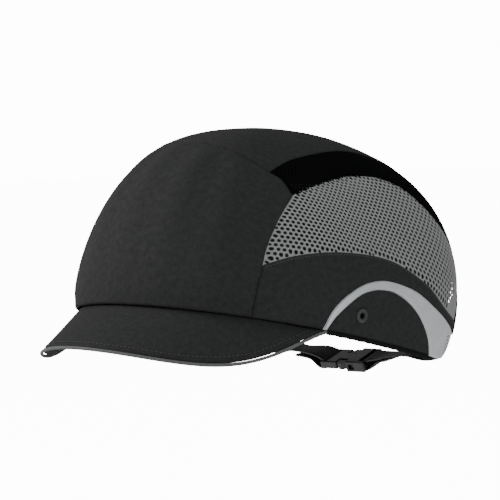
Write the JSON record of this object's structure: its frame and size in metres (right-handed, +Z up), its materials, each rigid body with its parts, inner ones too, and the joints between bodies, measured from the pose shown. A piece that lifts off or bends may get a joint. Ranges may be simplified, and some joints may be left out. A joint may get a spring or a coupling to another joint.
{
  "type": "bump cap",
  "caption": "Fabric bump cap with a short peak, mesh sides, reflective side bands, a hard inner shell and a rear strap with a side-release buckle.",
  "frame": {"origin": "centre of the head opening, in the plane of the lower rim", "axes": "+Z up as worn, the peak points along -Y, the wearer's left is +X"},
  "size_m": [0.1886, 0.2652, 0.1461],
  "materials": {
    "charcoal_fabric": "matt microfibre",
    "black_mesh": "matt knit",
    "grey_mesh": "matt knit with round holes",
    "reflective_fabric": "satin retroreflective",
    "reflective_piping": "satin",
    "black_binding": "matt",
    "towelling": "matt terry",
    "embroidery": "satin thread",
    "shell_plastic": "matt moulded",
    "foam": "closed-cell foam",
    "buckle_plastic": "glossy moulded",
    "webbing": "woven",
    "label": "woven, blank"
  },
  "bodies": {
    "cap": {"arch_binding": "black_binding", "care_label": "label", "crown_pad": "foam", "ear_panel_left": "charcoal_fabric", "ear_panel_right": "charcoal_fabric", "eyelet_left": "embroidery", "eyelet_right": "embroidery", "front_pad": "foam", "front_panel": "charcoal_fabric", "peak_board": "shell_plastic", "peak_bottom_cover": "charcoal_fabric", "peak_piping": "reflective_piping", "peak_top_cover": "charcoal_fabric", "protective_shell": "shell_plastic", "rear_pad": "foam", "reflective_band_left": "reflective_fabric", "reflective_band_right": "reflective_fabric", "rim_binding_left": "black_binding", "rim_binding_right": "black_binding", "side_mesh_left": "grey_mesh", "side_mesh_right": "grey_mesh", "side_pad_left": "foam", "side_pad_right": "foam", "side_panel_left": "charcoal_fabric", "side_panel_right": "charcoal_fabric", "strap_anchor_left": "webbing", "strap_anchor_right": "webbing", "sweatband": "towelling", "top_panel": "charcoal_fabric", "upper_mesh_left": "black_mesh", "upper_mesh_right": "black_mesh"},
    "socket_strap": {"strap_webbing_left": "webbing", "buckle_socket": "buckle_plastic"},
    "plug_strap": {"strap_webbing_right": "webbing", "buckle_plug": "buckle_plastic"},
    "arm_rear": {"buckle_arm_rear": "buckle_plastic"},
    "arm_front": {"buckle_arm_front": "buckle_plastic"}
  },
  "joints": [
    {"name": "strap_swing", "type": "hinge", "parent": "cap", "child": "socket_strap", "pos_m": [0, 0.0835, -0.01], "axis": [1, 0, 0], "range_deg": [-30, 30]},
    {"name": "buckle_release", "type": "slide", "parent": "socket_strap", "child": "plug_strap", "axis": [-1, 0, 0], "range_m": [0, 0.02], "deforming": ["strap_webbing_right"]},
    {"name": "rear_arm_squeeze", "type": "hinge", "parent": "plug_strap", "child": "arm_rear", "pos_m": [-0.0078, 0.09018, -0.01848], "axis": [0, -0.3518, 0.9361], "range_deg": [-9, 0], "stiffness_Nm_per_rad": 0.05},
    {"name": "front_arm_squeeze", "type": "hinge", "parent": "plug_strap", "child": "arm_front", "pos_m": [-0.0078, 0.07782, -0.02312], "axis": [0, -0.3518, 0.9361], "range_deg": [0, 9], "stiffness_Nm_per_rad": 0.05}
  ],
  "couplings": [
    {"joint": "front_arm_squeeze", "follows": "rear_arm_squeeze", "ratio": -1}
  ]
}
